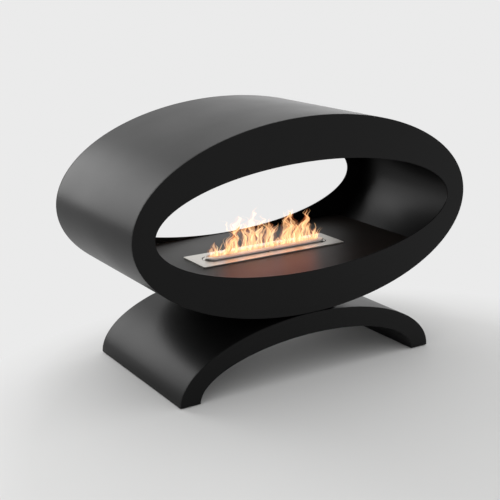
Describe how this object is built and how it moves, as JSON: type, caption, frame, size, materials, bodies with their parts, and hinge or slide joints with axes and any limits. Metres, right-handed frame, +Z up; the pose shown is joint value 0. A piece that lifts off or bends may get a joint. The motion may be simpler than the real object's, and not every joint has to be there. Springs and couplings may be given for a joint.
{
  "type": "bioethanol fireplace",
  "caption": "Free-standing oval tunnel fireplace, open front and rear, on an arched base, with a flat hearth and a lift-out slotted bioethanol burner.",
  "frame": {"origin": "on the floor under the middle of the object: X and Y at the middle of its box, Z at the underside of the floor pads", "axes": "+X to the right seen from the front, +Y from the front to the rear, +Z up"},
  "size_m": [0.9, 0.4, 0.6043],
  "materials": {
    "black_coat": "satin black powder coat",
    "stainless": "brushed stainless steel",
    "zinc_steel": "bright zinc plate",
    "ceramic_fibre": "matt fibre wadding",
    "black_rubber": "matt"
  },
  "bodies": {
    "fireplace": {"outer_shell": "black_coat", "front_ring": "black_coat", "rear_ring": "black_coat", "hearth_plate": "black_coat", "hearth_angle_front": "black_coat", "hearth_angle_rear": "black_coat", "burner_rail_left": "black_coat", "burner_rail_right": "black_coat", "saddle_plate": "black_coat", "arch_top_skin": "black_coat", "arch_under_skin": "black_coat", "arch_front_cheek": "black_coat", "arch_rear_cheek": "black_coat", "arch_mid_rib": "black_coat", "foot_plate_left": "black_coat", "foot_plate_right": "black_coat", "floor_pad_front_left": "black_rubber", "floor_pad_front_right": "black_rubber", "floor_pad_rear_left": "black_rubber", "floor_pad_rear_right": "black_rubber", "saddle_strip_left": "black_rubber", "saddle_strip_right": "black_rubber", "crush_tube_front_left": "zinc_steel", "crush_tube_front_right": "zinc_steel", "crush_tube_rear_left": "zinc_steel", "crush_tube_rear_right": "zinc_steel", "joint_bolt_front_left": "zinc_steel", "joint_bolt_front_right": "zinc_steel", "joint_bolt_rear_left": "zinc_steel", "joint_bolt_rear_right": "zinc_steel", "joint_nut_front_left": "zinc_steel", "joint_nut_front_right": "zinc_steel", "joint_nut_rear_left": "zinc_steel", "joint_nut_rear_right": "zinc_steel"},
    "burner": {"burner_plate": "stainless", "burner_casing": "stainless", "trough_stand_left": "stainless", "trough_stand_right": "stainless"},
    "trough": {"fuel_trough": "stainless", "trough_tab_front": "stainless", "trough_tab_rear": "stainless", "ceramic_wick": "ceramic_fibre"}
  },
  "joints": [
    {"name": "burner_lift", "type": "slide", "parent": "fireplace", "child": "burner", "axis": [0, 0, 1], "range_m": [0, 0.12]},
    {"name": "trough_lift", "type": "slide", "parent": "burner", "child": "trough", "axis": [0, 0, 1], "range_m": [0, 0.06]}
  ]
}
